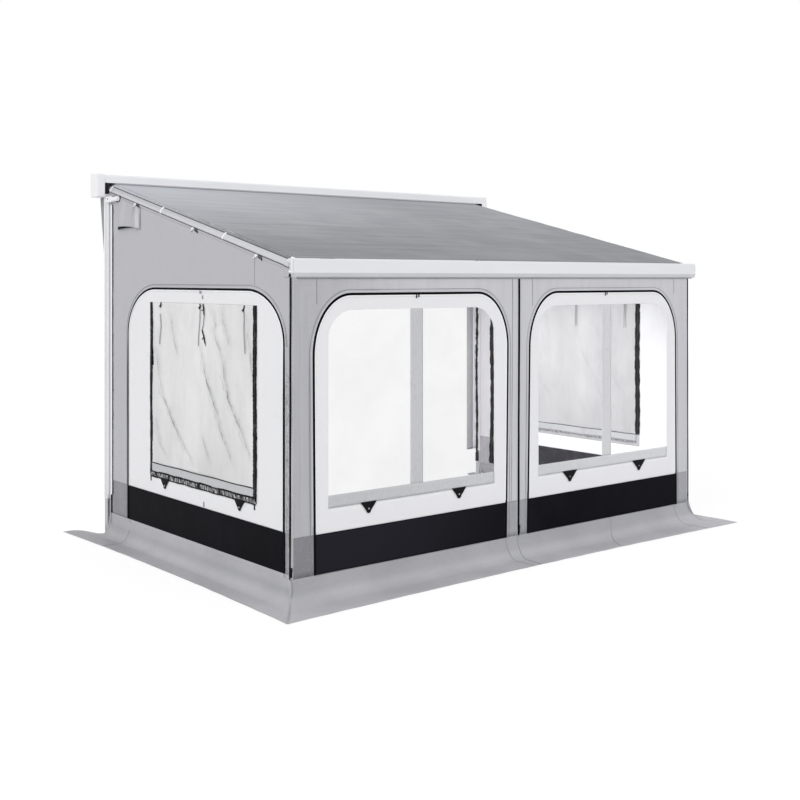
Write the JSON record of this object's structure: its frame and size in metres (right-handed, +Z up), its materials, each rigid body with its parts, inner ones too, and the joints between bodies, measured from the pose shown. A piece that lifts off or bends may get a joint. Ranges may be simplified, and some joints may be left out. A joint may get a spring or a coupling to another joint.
{
  "type": "caravan awning",
  "caption": "Cassette awning with a zip-in room: sloping roof on folding arms, arched window panels, rafters, rear poles and a ground skirt.",
  "frame": {"origin": "on the ground, under the middle of the awning's box", "axes": "+X along the vehicle, to the right seen from the front; +Y towards the vehicle; +Z up"},
  "size_m": [4.55, 3.265, 2.905],
  "materials": {
    "white_aluminium": "satin",
    "white_plastic": "satin",
    "bare_aluminium": "satin",
    "roof_cloth": "matte",
    "wall_cloth": "matte",
    "panel_cloth": "satin",
    "skirt_cloth": "satin",
    "grey_strip": "matte",
    "black_tape": "matte",
    "window_film": "gloss",
    "grey_foam": "matte",
    "black_plastic": "satin"
  },
  "bodies": {
    "root": {"arm_shoulder_left": "bare_aluminium", "arm_shoulder_right": "bare_aluminium", "arm_wrist_left": "bare_aluminium", "arm_wrist_right": "bare_aluminium", "wall_flap": "wall_cloth", "cassette_cap_left": "white_plastic", "cassette_cap_right": "white_plastic", "cassette_housing": "white_aluminium", "centre_zip": "black_tape", "corner_zip_left": "black_tape", "corner_zip_right": "black_tape", "forearm_left": "white_aluminium", "forearm_right": "white_aluminium", "front_wall_left": "wall_cloth", "front_wall_right": "wall_cloth", "lead_rail": "white_aluminium", "pole_bracket_left": "white_plastic", "pole_bracket_right": "white_plastic", "pole_seal_left": "grey_foam", "pole_seal_right": "grey_foam", "rafter_left": "wall_cloth", "rafter_right": "wall_cloth", "rail_cap_left": "white_plastic", "rail_cap_right": "white_plastic", "rear_pole_left": "white_aluminium", "rear_pole_right": "white_aluminium", "roof_cloth": "roof_cloth", "side_wall_left": "wall_cloth", "side_wall_right": "wall_cloth", "skirt_front": "skirt_cloth", "skirt_left": "skirt_cloth", "skirt_right": "skirt_cloth", "upper_arm_left": "white_aluminium", "upper_arm_right": "white_aluminium"},
    "front_door_left": {"front_panel_left": "panel_cloth", "front_window_left": "window_film", "front_window_tape_left": "grey_strip"},
    "front_door_right": {"front_panel_right": "panel_cloth", "front_window_right": "window_film", "front_window_tape_right": "grey_strip"},
    "side_door_left": {"side_panel_left": "panel_cloth"},
    "side_door_right": {"side_panel_right": "panel_cloth"},
    "window_flap_left": {"side_window_left": "window_film", "side_window_zip_left": "black_tape"},
    "window_flap_right": {"side_window_right": "window_film", "side_window_zip_right": "black_tape"},
    "leg_left": {"leg_outer_left": "bare_aluminium"},
    "leg_right": {"leg_outer_right": "bare_aluminium"},
    "leg_tube_left": {"leg_inner_left": "bare_aluminium"},
    "leg_tube_right": {"leg_inner_right": "bare_aluminium"},
    "foot_left": {"leg_foot_left": "white_plastic"},
    "foot_right": {"leg_foot_right": "white_plastic"},
    "pole_tube_left": {"pole_foot_left": "bare_aluminium"},
    "pole_tube_right": {"pole_foot_right": "bare_aluminium"},
    "roller": {"roller_tube": "roof_cloth"},
    "winch": {"winch_eye": "bare_aluminium"},
    "centre_pull": {"centre_slider": "black_plastic"},
    "corner_pull_left": {"corner_slider_left": "black_plastic"},
    "corner_pull_right": {"corner_slider_right": "black_plastic"}
  },
  "joints": [
    {"name": "front_door_left_fold", "type": "hinge", "parent": "root", "child": "front_door_left", "pos_m": [-0.9875, -1.3075, 0.1604], "axis": [1, 0, 0], "range_deg": [0, 90]},
    {"name": "front_door_right_fold", "type": "hinge", "parent": "root", "child": "front_door_right", "pos_m": [0.9875, -1.3075, 0.1604], "axis": [1, 0, 0], "range_deg": [0, 90]},
    {"name": "side_door_left_fold", "type": "hinge", "parent": "root", "child": "side_door_left", "pos_m": [-2.035, -0.1415, 0.1604], "axis": [0, -1, 0], "range_deg": [0, 90]},
    {"name": "side_door_right_fold", "type": "hinge", "parent": "root", "child": "side_door_right", "pos_m": [2.035, -0.0215, 0.1604], "axis": [0, 1, 0], "range_deg": [0, 90]},
    {"name": "window_flap_left_lift", "type": "hinge", "parent": "side_door_left", "child": "window_flap_left", "pos_m": [-2.035, -0.16, 1.885], "axis": [0, 1, 0], "range_deg": [0, 90]},
    {"name": "window_flap_right_lift", "type": "hinge", "parent": "side_door_right", "child": "window_flap_right", "pos_m": [2.035, -0.04, 1.885], "axis": [0, -1, 0], "range_deg": [0, 90]},
    {"name": "leg_left_fold", "type": "hinge", "parent": "root", "child": "leg_left", "pos_m": [-1.95, -1.27375, 2.108], "axis": [0, -1, 0], "range_deg": [0, 90]},
    {"name": "leg_right_fold", "type": "hinge", "parent": "root", "child": "leg_right", "pos_m": [1.95, -1.27375, 2.108], "axis": [0, 1, 0], "range_deg": [0, 90]},
    {"name": "leg_left_slide", "type": "slide", "parent": "leg_left", "child": "leg_tube_left", "axis": [0, 0, 1], "range_m": [0, 0.88]},
    {"name": "leg_right_slide", "type": "slide", "parent": "leg_right", "child": "leg_tube_right", "axis": [0, 0, 1], "range_m": [0, 0.88]},
    {"name": "foot_left_tip", "type": "hinge", "parent": "leg_tube_left", "child": "foot_left", "pos_m": [-1.95, -1.27375, 0.03], "axis": [0, 1, 0], "range_deg": [-25, 25]},
    {"name": "foot_right_tip", "type": "hinge", "parent": "leg_tube_right", "child": "foot_right", "pos_m": [1.95, -1.27375, 0.03], "axis": [0, 1, 0], "range_deg": [-25, 25]},
    {"name": "pole_left_slide", "type": "slide", "parent": "root", "child": "pole_tube_left", "axis": [0, 0, 1], "range_m": [0, 0.25]},
    {"name": "pole_right_slide", "type": "slide", "parent": "root", "child": "pole_tube_right", "axis": [0, 0, 1], "range_m": [0, 0.25]},
    {"name": "winch_turn", "type": "hinge", "parent": "root", "child": "winch", "pos_m": [2.108, 1.3525, 2.65], "axis": [0, 0, 1], "range_deg": [-360, 360]},
    {"name": "roller_turn", "type": "hinge", "parent": "root", "child": "roller", "pos_m": [0, 1.3575, 2.79798], "axis": [1, 0, 0], "range_deg": [-30, 30]},
    {"name": "centre_pull_slide", "type": "slide", "parent": "root", "child": "centre_pull", "axis": [0, 0, 1], "range_m": [0, 1.82]},
    {"name": "corner_pull_left_slide", "type": "slide", "parent": "root", "child": "corner_pull_left", "axis": [0, 0, 1], "range_m": [0, 1.82]},
    {"name": "corner_pull_right_slide", "type": "slide", "parent": "root", "child": "corner_pull_right", "axis": [0, 0, 1], "range_m": [0, 1.82]}
  ],
  "couplings": [
    {"joint": "winch_turn", "follows": "roller_turn", "ratio": 12}
  ]
}
